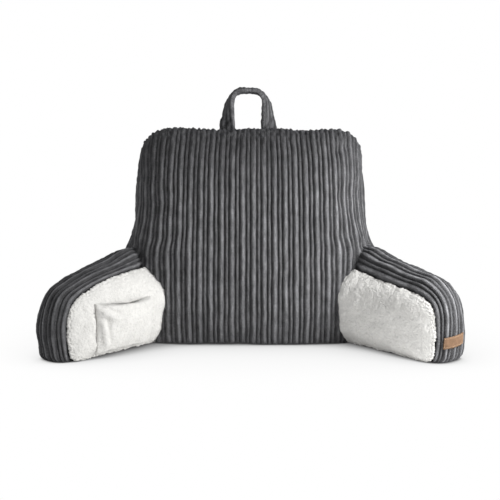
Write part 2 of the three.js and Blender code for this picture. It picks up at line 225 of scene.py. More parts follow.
def grid_normals(grid):
    """Outward directions of a grid that is closed round its columns."""
    across = np.roll(grid, -1, axis=1) - np.roll(grid, 1, axis=1)
    along = np.gradient(grid, axis=0)
    normal = np.cross(across, along) * (-1 if inside_out(grid) else 1)
    return normal / np.maximum(np.linalg.norm(normal, axis=2, keepdims=True), 1e-9)


def folds(across, along, lines):
    """Creases or ridges: 1 on each line from start to end, 0 away from it, and running out at its ends."""
    total = 0
    for start, end, width in lines:
        way = np.subtract(end, start)
        length = math.hypot(*way)
        way = way / length
        on = (across - start[0]) * way[0] + (along - start[1]) * way[1]
        off = (across - start[0]) * way[1] - (along - start[1]) * way[0]
        ends = smooth_step(on, -width, width) * (1 - smooth_step(on, length - width, length + width))
        total = total + ends * np.exp(-((off / width) ** 2))
    return total


def distance_to(points, grid, reach):
    """How far each point is from a closed grid's surface, at most reach."""
    tree = BVHTree.FromPolygons(grid.reshape(-1, 3).tolist(), grid_quads(*grid.shape[:2]).tolist())
    low = grid.reshape(-1, 3).min(axis=0) - reach
    high = grid.reshape(-1, 3).max(axis=0) + reach
    near = np.all((points > low) & (points < high), axis=-1)
    out = np.full(points.shape[:-1], float(reach))
    found = [tree.find_nearest(Vector(p), reach)[3] for p in points[near]]
    out[near] = [reach if far is None else far for far in found]
    return out


def waves(points, wavelength, seed, count=14):
    """A smooth random field, about -1 to 1, with features of about the given size."""
    draw = np.random.RandomState(seed)
    total = np.zeros(points.shape[:-1])
    for _ in range(count):
        way = draw.normal(size=points.shape[-1])
        way *= 2 * math.pi / (wavelength * draw.uniform(0.75, 1.4) * np.linalg.norm(way))
        total += np.cos(points @ way + draw.uniform(0, 2 * math.pi))
    return total / math.sqrt(count)


def cells(points, size, seed):
    """How far each 2-D point is from the nearest of a jittered set of centres, in shares of size."""
    table = np.random.RandomState(seed).uniform(0.15, 0.85, (64, 64, 2))
    home = np.floor(points / size).astype(int)
    nearest = np.full(points.shape[:-1], 9.0)
    for i in (-1, 0, 1):
        for j in (-1, 0, 1):
            cell = home + (i, j)
            centre = cell + table[cell[..., 0] % 64, cell[..., 1] % 64]
            nearest = np.minimum(nearest, np.linalg.norm(points / size - centre, axis=-1))
    return nearest


# Meshes

def grid_object(name, grid, uv=None, shade=None):
    """A closed piece from a grid in millimetres, closed round its columns, each end closed by a fan."""
    rows, cols = grid.shape[:2]
    index = np.arange(rows * cols).reshape(rows, cols)
    beside = np.roll(index, -1, axis=1)
    quads = grid_quads(rows, cols)
    fans = []
    for row, centre in ((0, rows * cols), (rows - 1, rows * cols + 1)):
        pair = (beside[row], index[row]) if row == 0 else (index[row], beside[row])
        fans.append(np.stack([*pair, np.full(cols, centre)], axis=-1))
    points = np.vstack([grid.reshape(-1, 3), grid[0].mean(axis=0), grid[-1].mean(axis=0)])
    turned = inside_out(grid)
    if turned:
        quads = quads[:, ::-1]
        fans = [fan[:, [1, 0, 2]] for fan in fans]
    mesh = bpy.data.meshes.new(name)
    mesh.from_pydata(((points + SHIFT) * MM).tolist(), [], quads.tolist() + np.vstack(fans).tolist())
    mesh.polygons.foreach_set("use_smooth", [True] * len(mesh.polygons))
    if uv is not None:
        corners = np.stack([uv[:-1, :-1], uv[:-1, 1:], uv[1:, 1:], uv[1:, :-1]], axis=2).reshape(-1, 4, 2)
        if turned:
            corners = corners[:, ::-1]
        ends = [np.repeat(uv[row, :-1, None], 3, axis=1) for row in (0, -1)]
        flat = np.concatenate([corners.reshape(-1, 2), *(end.reshape(-1, 2) for end in ends)])
        mesh.uv_layers.new(name="UVMap").data.foreach_set("uv", flat.ravel())
    if shade is not None:
        # The pile attribute holds the painted light and shade of the ribs and curls.
        values = np.concatenate([shade.ravel(), [shade[0].mean(), shade[-1].mean()]])
        mesh.attributes.new("pile", "FLOAT", "POINT").data.foreach_set("value", values)
    obj = bpy.data.objects.new(name, mesh)
    bpy.context.collection.objects.link(obj)
    return obj


def settled(grid, pinned, pressure, cap):
    """How far a coarse grid's points move when its cover is filled, as simulated cloth under pressure."""
    obj = grid_object("cover_trial", grid)
    held = obj.vertex_groups.new(name="held")
    for i, weight in enumerate(pinned.ravel()):
        held.add([i], float(weight), "REPLACE")
    held.add([pinned.size, pinned.size + 1], 1.0, "REPLACE")
    cloth = obj.modifiers.new("Cloth", "CLOTH").settings
    cloth.quality = 6
    cloth.mass = 0.3
    cloth.tension_stiffness = 12
    cloth.compression_stiffness = 12
    cloth.shear_stiffness = 4
    cloth.bending_stiffness = 0.3
    cloth.use_pressure = True
    cloth.uniform_pressure_force = pressure
    cloth.effector_weights.gravity = 0
    cloth.vertex_group_mass = "held"
    scene = bpy.context.scene
    for frame_number in range(1, TRIAL_FRAMES + 1):
        scene.frame_set(frame_number)
    after = obj.evaluated_get(bpy.context.evaluated_depsgraph_get()).to_mesh()
    points = np.empty(len(after.vertices) * 3)
    after.vertices.foreach_get("co", points)
    scene.frame_set(1)
    remove(obj)
    moved = points.reshape(-1, 3)[: pinned.size].reshape(grid.shape) / MM - SHIFT - grid
    far = np.linalg.norm(moved, axis=2, keepdims=True)
    return moved * np.minimum(1, cap / np.maximum(far, 1e-9))


def plump(grid, move):
    """A fine grid moved as its coarse twin was."""
    rows = resample(move, grid.shape[0], 0, False)
    return grid + resample(rows, grid.shape[1], 1, True)


def remove(obj):
    mesh = obj.data
    bpy.data.objects.remove(obj)
    bpy.data.meshes.remove(mesh)


def cut_away(obj, room):
    """Takes another closed piece's room out of this one."""
    cut = obj.modifiers.new("Cut", "BOOLEAN")
    cut.operation = "DIFFERENCE"
    cut.solver = "MANIFOLD"
    cut.object = room
    bpy.ops.object.select_all(action="DESELECT")
    obj.select_set(True)
    bpy.context.view_layer.objects.active = obj
    bpy.ops.object.modifier_apply(modifier=cut.name)
    obj.data.materials.clear()


# Shapes

def thickness_share(u):
    return (1 - np.abs(u) ** SIDE_ROUNDING) ** (1 / SIDE_ROUNDING)


def cloth_across():
    """Places along u from the middle to a side, and how much cloth lies between the middle and each."""
    u = 1 - np.linspace(1, 0, 4001) ** SIDE_ROUNDING
    rise = BACK_HALF_THICKNESS * np.diff(thickness_share(u))
    return u, np.concatenate([[0], np.cumsum(np.hypot(BACK_HALF_WIDTH * np.diff(u), rise))])


def back_grid(phases, repeats, outline):
    """The back cushion without its ribs: a row for each phase, a column for each point of the outline."""
    places, length = cloth_across()
    u = np.sign(phases) * np.interp(np.abs(phases) / repeats * length[-1], length, places)
    past = np.clip((np.abs(u) - CORNER_START) / (1 - CORNER_START), 0, 1)
    lift = 1 - CORNER_DROP * (1 - np.sqrt(1 - past**2)) / BACK_HEIGHT
    share = np.maximum(thickness_share(np.clip(u, -1, 1)), SIDE_THICKNESS)
    y, z = outline[None, :, 0], np.maximum(0, outline[None, :, 1])
    height = z * lift[:, None]
    width = dense_curve(BACK_WIDTH, False)
    left, right = (np.interp(height, width[:, 0], width[:, k]) for k in (1, 2))
    flare = (np.where(u[:, None] < 0, left, right) - BACK_HALF_WIDTH) * (u**SIDE_FLARE)[:, None]
    middle = BACK_MIDDLE[0] + (BACK_MIDDLE[1] - BACK_MIDDLE[0]) * z / BACK_HEIGHT
    across = u[:, None] * BACK_HALF_WIDTH + flare
    return np.stack([across, middle + (y - middle) * share[:, None], height], axis=2)


def back_repeats():
    """How many rib repeats fit between the middle of the back and a side."""
    return round(cloth_across()[1][-1] * MM / bpy.context.scene.pillow_plush.repeat)


@functools.lru_cache
def filled_back():
    """The back's coarse grid before and after it is filled."""
    repeats = back_repeats()
    outline, _ = even_points(dense_curve(BACK_PROFILE, True), BACK_POINTS["coarse"], True)
    grid = back_grid(np.linspace(-repeats, repeats, 4 * repeats + 1), repeats, outline)
    low_side = smooth_step(np.abs(grid[..., 0]), 140, 215) * (1 - smooth_step(grid[..., 2], 110, 260))
    pinned = np.maximum(1 - smooth_step(grid[..., 2], 4, 14), low_side)
    move = settled(grid, pinned, BACK_PRESSURE, BACK_CAP)
    # The side seams follow the cloth beside them and stay closed.
    move[[0, 1, -2, -1]] = move[[2, 2, -3, -3]]
    move[[0, -1], :, 1] = 0
    return grid, move


def arm_point(side, a, n, z):
    """A place in an arm, whose end is skewed so that the sitter's side reaches further forward."""
    a = a + TIP_SLANT * n * smooth_step(a, *TIP_SPAN)
    x = ARM_ROOT[0] + a * math.sin(ARM_SPLAY) - n * math.cos(ARM_SPLAY)
    y = ARM_ROOT[1] - a * math.cos(ARM_SPLAY) - n * math.sin(ARM_SPLAY)
    return np.stack([side * x, y, z + 0 * x], axis=-1)


def seam_places(table, count):
    """Even places round an arm's seam, with the band's crown, the inner seam, the way out and the length."""
    points, length = even_points(dense_curve(table, True), count, True)
    ahead = np.roll(points, -1, axis=0) - np.roll(points, 1, axis=0)
    out = np.stack([ahead[:, 1], -ahead[:, 0]], axis=1)
    out /= np.linalg.norm(out, axis=1, keepdims=True)
    return {"at": points[:, :2], "crown": points[:, 2], "inner": points[:, 3], "out": out, "length": length}


def inner_face(inner, a, rho):
    """n of the arm's inner face, from its seam's own n, level in the middle and swollen most at the root."""
    rho = np.minimum(rho, 1)
    swell = (SWELL + ROOT_SWELL * (1 - smooth_step(a, 0, ROOT_END))) * (1 - rho**SWELL_POWER)
    return INNER_SEAM + (inner - INNER_SEAM) * rho**2 + swell


def inner_ring(side, seam, rho, lift):
    at = FACE_CENTRE + (seam["at"] - FACE_CENTRE) * rho
    return arm_point(side, at[:, 0], inner_face(seam["inner"], at[:, 0], rho) + lift, at[:, 1])


def outer_ring(side, seam, rho):
    at = FACE_CENTRE + (seam["at"] - FACE_CENTRE) * rho
    return arm_point(side, at[:, 0], OUTER_SEAM - SWELL * (1 - rho**SWELL_POWER) + 0 * at[:, 0], at[:, 1])


def band_ring(side, seam, t, lift=0.0):
    angle = t * math.pi / 2
    reach = seam["crown"] * math.cos(angle) ** BAND_FULLNESS + lift * math.cos(angle)
    middle = (seam["inner"] + OUTER_SEAM) / 2
    n = middle - ((seam["inner"] - OUTER_SEAM) / 2 + lift) * math.sin(angle)
    at = seam["at"] + seam["out"] * reach[:, None]
    return arm_point(side, at[:, 0], n, at[:, 1])


def arm_grid(side, seam, inner_rhos, band, outer_rhos):
    """An arm without its ribs: rings over the inner face, over the band and over the outer face."""
    rings = [inner_ring(side, seam, rho, 0) for rho in inner_rhos]
    rings += [band_ring(side, seam, t) for t in band]
    rings += [outer_ring(side, seam, rho) for rho in outer_rhos]
    return np.array(rings)


@functools.lru_cache
def filled_arm(side):
    """An arm's coarse grid before and after it is filled."""
    bands = np.linspace(-1, 1, COARSE_BAND)
    grid = arm_grid(side, seam_places(SEAMS[side], ARM_POINTS["coarse"]), COARSE_INNER, bands, COARSE_OUTER)
    held = [1] * (len(COARSE_INNER) + 1) + [0] * (COARSE_BAND - 2) + [0.8] + [0] * len(COARSE_OUTER)
    pinned = np.maximum(np.array(held)[:, None], 1 - smooth_step(grid[..., 2], 4, 14))
    move = settled(grid, pinned, ARM_PRESSURE, ARM_CAP)
    # The rings of the outer face move more evenly the nearer they are to its middle.
    for row, passes in enumerate((2, 4, 8, 16, 32, 64), start=-len(COARSE_OUTER)):
        for _ in range(passes):
            move[row] = (np.roll(move[row], 1, axis=0) + 2 * move[row] + np.roll(move[row], -1, axis=0)) / 4
    return grid, move


def stand(grid):
    """Presses everything below the floor flat onto it."""
    grid[..., 2] = np.maximum(0, grid[..., 2])
    return grid


def back_room(depth):
    """A plain stand-in for the filled back, drawn in by depth, to cut the arms and panels with."""
    middle = np.array([0, sum(BACK_MIDDLE) / 2, 0])
    smaller = 1 - depth / np.array([BACK_HALF_WIDTH, BACK_HALF_THICKNESS, math.inf])
    grid = middle + (sum(filled_back()) - middle) * smaller
    grid[..., 2] = np.where(grid[..., 2] < 1, -20, grid[..., 2])
    return grid_object("back_room", grid)


def rib_relief(props, phase, fade, spots, seed):
    """Height of the ribbed pile in millimetres, and a painted highlight: dark in the furrows, brightest
    beside each rib's top.
    """
    share = phase - np.floor(phase + 1e-6)
    wide = share < props.share
    place = np.where(wide, share / props.share, (share - props.share) / (1 - props.share))
    full = np.where(wide, props.wide, props.narrow) / MM
    round_top = np.sqrt(np.maximum(0, 1 - (2 * place - 1) ** 2))
    uneven = 1 + 0.07 * waves(spots, 12, seed) + 0.08 * waves(spots, 45, seed + 1)
    # Painted highlight to one side of each rib's top, as if lit from that side, with painted shade in the
    # furrows and dimmer where the ribs fade out.
    painted_highlight = np.where(wide, 1, NARROW_PAINTED_HIGHLIGHT) * np.exp(-(((place - PAINTED_HIGHLIGHT_AT) / PAINTED_HIGHLIGHT_WIDTH) ** 2))
    return full * round_top * uneven * fade, np.clip(painted_highlight * (0.4 + 0.6 * fade), 0, 1)


def sideways(grid, size, wavelength, seed):
    """Lets the ribs wander to either side by shifting the grid across them."""
    across = np.gradient(grid, axis=0)
    across /= np.maximum(np.linalg.norm(across, axis=2, keepdims=True), 1e-9)
    return grid + across * (size * waves(grid, wavelength, seed))[..., None]


# Materials

class Finish:
    """A material in the making, with short hands for its nodes."""

    def __init__(self, name):
        self.material = bpy.data.materials.new(name)
        self.material.use_nodes = True
        self.tree = self.material.node_tree
        self.shader = self.tree.nodes["Principled BSDF"]

    def add(self, kind, **settings):
        node = self.tree.nodes.new(kind)
        for key, value in settings.items():
            setattr(node, key, value)
        return node

    def feed(self, socket, source):
        if isinstance(source, bpy.types.NodeSocket):
            self.tree.links.new(source, socket)
        else:
            socket.default_value = source

    def set(self, **values):
        for key, value in values.items():
            self.feed(self.shader.inputs[key.replace("_", " ")], value)

    def where(self):
        return self.add("ShaderNodeTexCoord").outputs["Object"]

    def cloth(self):
        return self.add("ShaderNodeUVMap", uv_map="UVMap").outputs["UV"]

    # Reads the pile attribute, which holds painted light and shade.
    def pile(self):
        return self.add("ShaderNodeAttribute", attribute_name="pile").outputs["Fac"]

    def noise(self, place, scale, detail=3.0, roughness=0.55):
        """Noise whose scale may differ along the three directions."""
        node = self.add("ShaderNodeTexNoise")
        if isinstance(scale, tuple):
            mapping = self.add("ShaderNodeMapping")
            self.feed(mapping.inputs["Vector"], place)
            self.feed(mapping.inputs["Scale"], scale)
            place, scale = mapping.outputs["Vector"], 1.0
        self.feed(node.inputs["Vector"], place)
        self.feed(node.inputs["Scale"], scale)
        self.feed(node.inputs["Detail"], detail)
        self.feed(node.inputs["Roughness"], roughness)
        return node.outputs["Fac"]

    def ramp(self, source, *stops):
        node = self.add("ShaderNodeValToRGB")
        self.feed(node.inputs["Fac"], source)
        points = node.color_ramp.elements
        while len(points) < len(stops):
            points.new(0.5)
        for point, (at, colour) in zip(points, stops):
            point.position = at
            point.color = (*colour, 1.0)
        return node.outputs["Color"]

    def tones(self, source, colour, *steps):
        """A colour's darker and lighter tones along the source."""
        return self.ramp(source, *((at, [min(1.0, c * factor) for c in colour]) for at, factor in steps))

    def shade(self, colour, source, low, high, dark, light=1.0):
        """A colour made darker where the source is low and lighter where it is high."""
        tone = self.ramp(source, (low, (dark,) * 3), (high, (light,) * 3))
        node = self.add("ShaderNodeMix", data_type="RGBA", blend_type="MULTIPLY")
        sockets = [socket for socket in node.inputs if socket.enabled]
        for socket, value in zip(sockets, (1.0, colour, tone)):
            self.feed(socket, value)
        return next(socket for socket in node.outputs if socket.enabled)

    def sum(self, *sources):
        total = sources[0]
        for source in sources[1:]:
            node = self.add("ShaderNodeMath", operation="ADD")
            self.feed(node.inputs[0], total)
            self.feed(node.inputs[1], source)
            total = node.outputs["Value"]
        return total

    def bump(self, height, strength, distance):
        node = self.add("ShaderNodeBump")
        self.feed(node.inputs["Height"], height)
        self.feed(node.inputs["Strength"], strength)
        self.feed(node.inputs["Distance"], distance)
        self.feed(self.shader.inputs["Normal"], node.outputs["Normal"])


def plush_pile(props):
    m = Finish("plush_pile")
    # Painted light and shade from the pile attribute: dark furrows and a bright flank on each rib, as if lit
    # from one side.
    painted_rib_light = m.tones(m.pile(), props.colour, (0.0, 0.5), (0.3, 0.72), (0.65, 1.2), (1.0, 1.75))
    streaks = m.noise(m.cloth(), (230, 40, 1), 3.0, 0.6)
    blotches = m.noise(m.where(), 34, 3.0, 0.6)
    fibres = m.noise(m.cloth(), (1400, 420, 1), 2.0, 0.6)
    colour = m.shade(painted_rib_light, streaks, 0.4, 0.6, 0.75, 1.2)
    colour = m.shade(colour, blotches, 0.4, 0.6, 0.88, 1.08)
    colour = m.shade(colour, fibres, 0.38, 0.62, 0.65, 1.3)
    m.set(Base_Color=colour, Roughness=0.9, Specular_IOR_Level=0.05, Sheen_Weight=props.sheen)
    m.set(Sheen_Roughness=0.4, Sheen_Tint=(0.85, 0.88, 1.0, 1.0))
    m.bump(m.sum(streaks, fibres), 0.7, 0.0012)
    return m.material


def fleece_curls(props):
    m = Finish("fleece_curls")
    # Painted shade in the hollows between the curls and lighter curl tops, from the pile attribute.
    painted_curl_shade = m.tones(m.pile(), props.colour, (0.0, 0.86), (0.4, 0.98), (1.0, 1.06))
    wool = m.noise(m.where(), 420, 4.0, 0.7)
    cloudy = m.noise(m.where(), 40, 2.0, 0.5)
    colour = m.shade(painted_curl_shade, wool, 0.3, 0.62, 0.92)
    colour = m.shade(colour, cloudy, 0.35, 0.65, 0.94)
    m.set(Base_Color=colour, Roughness=0.95, Specular_IOR_Level=0.1, Sheen_Weight=0.1, Sheen_Roughness=0.5)
    worms = m.add("ShaderNodeTexVoronoi", feature="SMOOTH_F1")
    m.feed(worms.inputs["Vector"], m.where())
    m.feed(worms.inputs["Scale"], 330.0)
    m.bump(m.sum(wool, worms.outputs["Distance"]), 0.7, 0.0009)
    return m.material


def patch_hide(props):
    m = Finish("patch_hide")
    grain = m.noise(m.where(), 900, 4.0, 0.65)
    cloudy = m.noise(m.where(), 130, 2.0, 0.5)
    colour = m.tones(cloudy, props.colour, (0.3, 0.82), (0.7, 1.12))
    colour = m.shade(colour, grain, 0.35, 0.6, 0.75)
    m.set(Base_Color=colour, Roughness=0.8, Specular_IOR_Level=0.15)
    m.bump(grain, 0.5, 0.0004)
    return m.material


def patch_thread(props):
    m = Finish("patch_thread")
    twist = m.noise(m.where(), 2500, 2.0, 0.5)
    m.set(Base_Color=m.tones(twist, props.thread, (0.3, 0.8), (0.7, 1.1)), Roughness=0.7)
    m.bump(twist, 0.5, 0.0002)
    return m.material


def floor_material(props):
    """Plain white seen directly, with a painted contact shadow where something stands on it, and a pale matt
    floor for all else.
    """
    m = Finish("floor")
    mottle = m.noise(m.where(), 3.0, 2.0, 0.5)
    m.set(Base_Color=m.ramp(mottle, (0.3, (0.87, 0.87, 0.87)), (0.7, (0.89, 0.89, 0.89))), Roughness=0.9)
    # Painted shadow: the white darkens with the ambient occlusion near whatever stands on the floor.
    near = m.add("ShaderNodeAmbientOcclusion", samples=24)
    m.feed(near.inputs["Distance"], props.shadow)
    white = m.add("ShaderNodeEmission")
    steps = ((0.0, 0.03), (0.3, 0.35), (0.5, 0.78), (0.72, 0.94), (0.92, 1.0))
    m.feed(white.inputs["Color"], m.ramp(near.outputs["AO"], *((at, (tone,) * 3) for at, tone in steps)))
    seen = m.add("ShaderNodeMixShader")
    m.feed(seen.inputs[0], m.add("ShaderNodeLightPath").outputs["Is Camera Ray"])
    m.feed(seen.inputs[1], m.shader.outputs[0])
    m.feed(seen.inputs[2], white.outputs[0])
    m.feed(m.tree.nodes["Material Output"].inputs["Surface"], seen.outputs[0])
    return m.material


def finish_piece(obj, make, props, slot, fill, *nodes):
    """Gives a piece its finish, made the first time it is asked for, ties it to the body and hides the parts
    it stands in for.
    """
    obj.data.materials.append(bpy.data.materials.get(make.__name__) or make(props))
    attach(obj, BODY)
    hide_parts(*nodes)


# What a user may change

def number(name, about, default, **kind):
    return bpy.props.FloatProperty(name=name, description=about, default=default, **kind)


def triple(name, about, default, kind):
    return bpy.props.FloatVectorProperty(name=name, description=about, size=3, default=default, subtype=kind)


class PlushSettings(bpy.types.PropertyGroup):
    repeat: number("Rib repeat", "Width of one wide and one narrow rib", 0.020, unit="LENGTH")
    wide: number("Wide rib", "Height of the wide rib's pile", 0.0050, unit="LENGTH")
    narrow: number("Narrow rib", "Height of the narrow rib's pile", 0.0038, unit="LENGTH")
    share: number("Wide share", "How much of a repeat the wide rib takes", 0.6, subtype="FACTOR")
    colour: triple("Colour", "Colour of the pile", (0.133, 0.133, 0.138), "COLOR")
    sheen: number("Sheen", "How strongly the pile shines at its edges", 0.06, subtype="FACTOR")


class FleeceSettings(bpy.types.PropertyGroup):
    clump: number("Clump", "Width of one clump of curls", 0.0062, unit="LENGTH")
    depth: number("Depth", "How deep the curls are", 0.0020, unit="LENGTH")
    colour: triple("Colour", "Colour of the fleece", (0.855, 0.845, 0.817), "COLOR")


class PatchSettings(bpy.types.PropertyGroup):
    thickness: number("Thickness", "Thickness of the patch", 0.0014, unit="LENGTH")
    colour: triple("Colour", "Colour of the patch", (0.205, 0.124, 0.075), "COLOR")
    thread: triple("Thread", "Colour of its stitches", (0.5, 0.34, 0.21), "COLOR")


class StageSettings(bpy.types.PropertyGroup):
    lens: number("Lens", "Focal length of the camera in millimetres", 70.6)
    eye: triple("Eye", "Where the camera stands", (0.0, -1.84, 0.36), "TRANSLATION")
    dip: number("Dip", "How far the camera looks down", math.radians(5.8), subtype="ANGLE")
    key: number("Key light", "Power of the light from the right", 7.3, unit="POWER")
    fill: number("Fill light", "Power of the light from the left", 1.5, unit="POWER")
    sky: number("Sky", "Strength of the light from all round", 0.40)
    shadow: number("Shadow", "How far the floor's contact shade reaches", 0.4, unit="LENGTH")


# Pieces

class PILLOW_OT_back(bpy.types.Operator):
    """Build the filled back cushion with its ribs"""
    bl_idname = "pillow.back"
    bl_label = "Back cushion"

    def execute(self, context):
        props = context.scene.pillow_plush
        repeats = back_repeats()
        outline, along = even_points(dense_curve(BACK_PROFILE, True), BACK_POINTS["fine"], True)
        phases = np.linspace(-repeats, repeats, 2 * repeats * RIB_COLUMNS + 1)
        grid = plump(back_grid(phases, repeats, outline), filled_back()[1])
        grid = sideways(grid, 0.35, 60, 3)
        normal = grid_normals(grid)
        x, y, z = (grid[..., k] for k in range(3))
        front = 1 - smooth_step(y, 60, 110)
        seam = np.minimum(*(distance_to(grid, sum(filled_arm(side)), 45) for side in SEAMS))
        near = np.exp(-((seam / 15) ** 2))
        top = smooth_step(z, 362, 396)
        side_edge = smooth_step(np.abs(phases), repeats - 2.2, repeats)[:, None] * smooth_step(z, 150, 200)
        dent = 0.8 * front * folds(x, z, BACK_DENT)
        shape = 1.6 * waves(grid, 120, 5) + 0.8 * waves(grid, 55, 6)
        shape += top * 1.5 * waves(grid, 11, 7) + side_edge * 1.2 * waves(grid, 13, 8)
        shape -= 5.0 * dent + 3.6 * np.exp(-((seam / 8) ** 2)) - 1.3 * near * waves(grid, 13, 9)
        # fade lowers the ribs and also dims their painted highlight: painted shade at the seams with the
        # arms, at the top, the sides and the foot.
        fade = (1 - 0.45 * near) * (1 - 0.55 * top) * smooth_step(z, 0, 9)
        fade *= 1 - 0.6 * smooth_step(np.abs(phases), repeats - 1.0, repeats)[:, None]
        phase = np.broadcast_to(phases[:, None], z.shape)
        height, pile = rib_relief(props, phase, fade, grid, 11)
        # The rib tones flatten and darken towards the top and the foot, less on the right: partly crushed
        # pile, partly painted shade.
        crush_and_painted_shade = 0.85 * smooth_step(z, 240, 385) * (1 - 0.5 * smooth_step(x, 60, 200))
        crush_and_painted_shade += 0.4 * (1 - smooth_step(z, 15, 85)) * (1 - 0.5 * smooth_step(x, 60, 200))
        pile = pile * (1 - crush_and_painted_shade) + 0.22 * crush_and_painted_shade
        grid = stand(grid + normal * (height + shape - RIB_FOOT)[..., None])
        length = np.append(along, along[-1] + along[1])
        uv = np.stack(np.broadcast_arrays(phases[:, None] * props.repeat, length[None] * MM), axis=-1)
        obj = grid_object("back_cushion_cover", grid, uv, pile)
        finish_piece(obj, plush_pile, props, "ribbed_plush", 0.85, "back_cushion")
        return {"FINISHED"}


class PILLOW_OT_arms(bpy.types.Operator):
    """Build the two filled arms, each with a ribbed band and a ribbed outer face"""
    bl_idname = "pillow.arms"
    bl_label = "Arms"

    def execute(self, context):
        props = context.scene.pillow_plush
        room = back_room(7)
        for name, side in SIDES.items():
            obj = self.arm(props, name, side)
            cut_away(obj, room)
            finish_piece(obj, plush_pile, props, "ribbed_plush", 0.8, f"arm_{name}")
        remove(room)
        return {"FINISHED"}

    def arm(self, props, name, side):
        band = np.linspace(-1, 1, BAND_REPEATS * RIB_COLUMNS + 1)
        counts = (len(FINE_INNER), len(band), len(FINE_OUTER))
        seam = seam_places(SEAMS[side], ARM_POINTS["fine"])
        grid = plump_rings(arm_grid(side, seam, FINE_INNER, band, FINE_OUTER), filled_arm(side)[1])
        on_band = np.repeat([0, 1, 0], counts)[:, None]
        on_outer = np.repeat([0, 0, 1], counts)[:, None]
        band_phase = np.zeros(grid.shape[:2])
        band_phase[on_band[:, 0] > 0] = (band[:, None] + 1) / 2 * BAND_REPEATS
        phase = np.where(on_band > 0, band_phase, grid[..., 2] * MM / props.repeat)
        grid = np.where(on_band[..., None] > 0, sideways(grid, 0.8, 60, 4), grid)
        normal = grid_normals(grid)
        root = distance_to(grid, sum(filled_back()), 45)
        near = np.exp(-((root / 16) ** 2))
        soft_edges = smooth_step(band, -1.04, -0.94), smooth_step(FINE_OUTER, 1.0, 0.95)
        rim = np.concatenate([[0] * len(FINE_INNER), *soft_edges])
        shape = on_outer * 1.4 * waves(grid, 90, 21) + 0.9 * waves(grid, 60, 22)
        shape += near * (0.8 * waves(grid, 11, 23) - 5.0) - 2.0 * np.exp(-((root / 7) ** 2))
        # fade also dims the painted rib highlight: painted shade where the arm meets the back and near the
        # floor.
        fade = rim[:, None] * (1 - 0.3 * near) * smooth_step(grid[..., 2], 0, 8)
        height, pile = rib_relief(props, phase, fade, grid, 31 + side)
        grid = stand(grid + normal * (height + shape - RIB_FOOT)[..., None])
        length = np.append(seam["length"], seam["length"][-1] + seam["length"][1]) * MM
        uv = np.stack(np.broadcast_arrays(band_phase[:, :1] * props.repeat, length[None]), axis=-1)
        face = np.concatenate([grid, grid[:, :1]], axis=1)[..., [2, 1]] * MM
        return grid_object(f"arm_{name}_cover", grid, np.where(on_outer[..., None] > 0, face, uv), pile)


def plump_rings(grid, move):
    """A fine arm moved as its coarse twin was, with the inner, band and outer rings matched one to one."""
    first, last = len(COARSE_INNER), len(COARSE_INNER) + COARSE_BAND
    rows = [
        resample(move[:first], len(FINE_INNER), 0, False),
        resample(move[first:last], BAND_REPEATS * RIB_COLUMNS + 1, 0, False),
        resample(move[last - 1:], len(FINE_OUTER) + 1, 0, False)[1:],
    ]
    return grid + resample(np.concatenate(rows), grid.shape[1], 1, True)


class PILLOW_OT_panels(bpy.types.Operator):
    """Build the padded fleece faces on the inside of the arms"""
    bl_idname = "pillow.panels"
    bl_label = "Fleece panels"

    def execute(self, context):
        props = context.scene.pillow_fleece
        room = back_room(4)
        for name, side in SIDES.items():
            obj = self.panel(props, name, side)
            cut_away(obj, room)
            finish_piece(obj, fleece_curls, props, "fleece", 0.5, f"inner_panel_{name}")
        remove(room)
        return {"FINISHED"}

    def panel(self, props, name, side):
        seam = seam_places(SEAMS[side], PANEL_POINTS)
        under = [0.2, 0.6, 0.9, 0.985]
        over = np.concatenate([np.linspace(1.0, 0.93, 14), np.linspace(0.922, 0.02, 104)])
        rings = [inner_ring(side, seam, rho, 0.3) for rho in under]
        rings += [inner_ring(side, seam, rho, pile_thickness(rho)) for rho in over]
        grid = np.array(rings)
        flat = FACE_CENTRE + (seam["at"] - FACE_CENTRE)[None] * np.concatenate([under, over])[:, None, None]
        height, pile = fleece_relief(props, flat, 40 + side)
        rim = smooth_step(np.concatenate([under, over]), 0.93, 0.985)[:, None]
        height += 0.9 * rim * waves(flat, 5, 60 + side)
        height += ROOT_BULGE[side] * np.exp(-(((flat - BULGE_CENTRE) / BULGE_SIZE) ** 2).sum(axis=-1))
        height = height * np.repeat([0, 1], [len(under), len(over)])[:, None]
        grid = stand(grid + grid_normals(grid) * height[..., None])
        return grid_object(f"inner_panel_{name}_fleece", grid, None, pile)


def pile_thickness(rho):
    return PILE_EDGE + (PILE_THICKNESS - PILE_EDGE) * math.sqrt(1 - min(rho, 1) ** 6)


def fleece_relief(props, flat, seed):
    """Height in millimetres of curled fleece over a flat pattern, and its share of the full depth, which the
    finish paints as shade in the hollows.
    """
    depth = props.depth / MM
    clump = props.clump / MM
    bent = flat + np.stack([waves(flat, 12, seed), waves(flat, 12, seed + 1)], axis=-1) * 1.5
    large = np.maximum(0, 1 - (cells(bent, clump, seed) / 0.8) ** 2) ** 0.6
    small = np.maximum(0, 1 - (cells(bent, clump * 0.55, seed + 2) / 0.8) ** 2) ** 0.6
    share = 0.5 * large + 0.5 * small
    lumps = 0.7 * waves(flat, 34, seed + 3) + 0.25 * waves(flat, 14, seed + 4)
    return depth * (share - 0.4) + lumps, np.clip(share + 0.12 * waves(flat, 9, seed + 5), 0, 1)


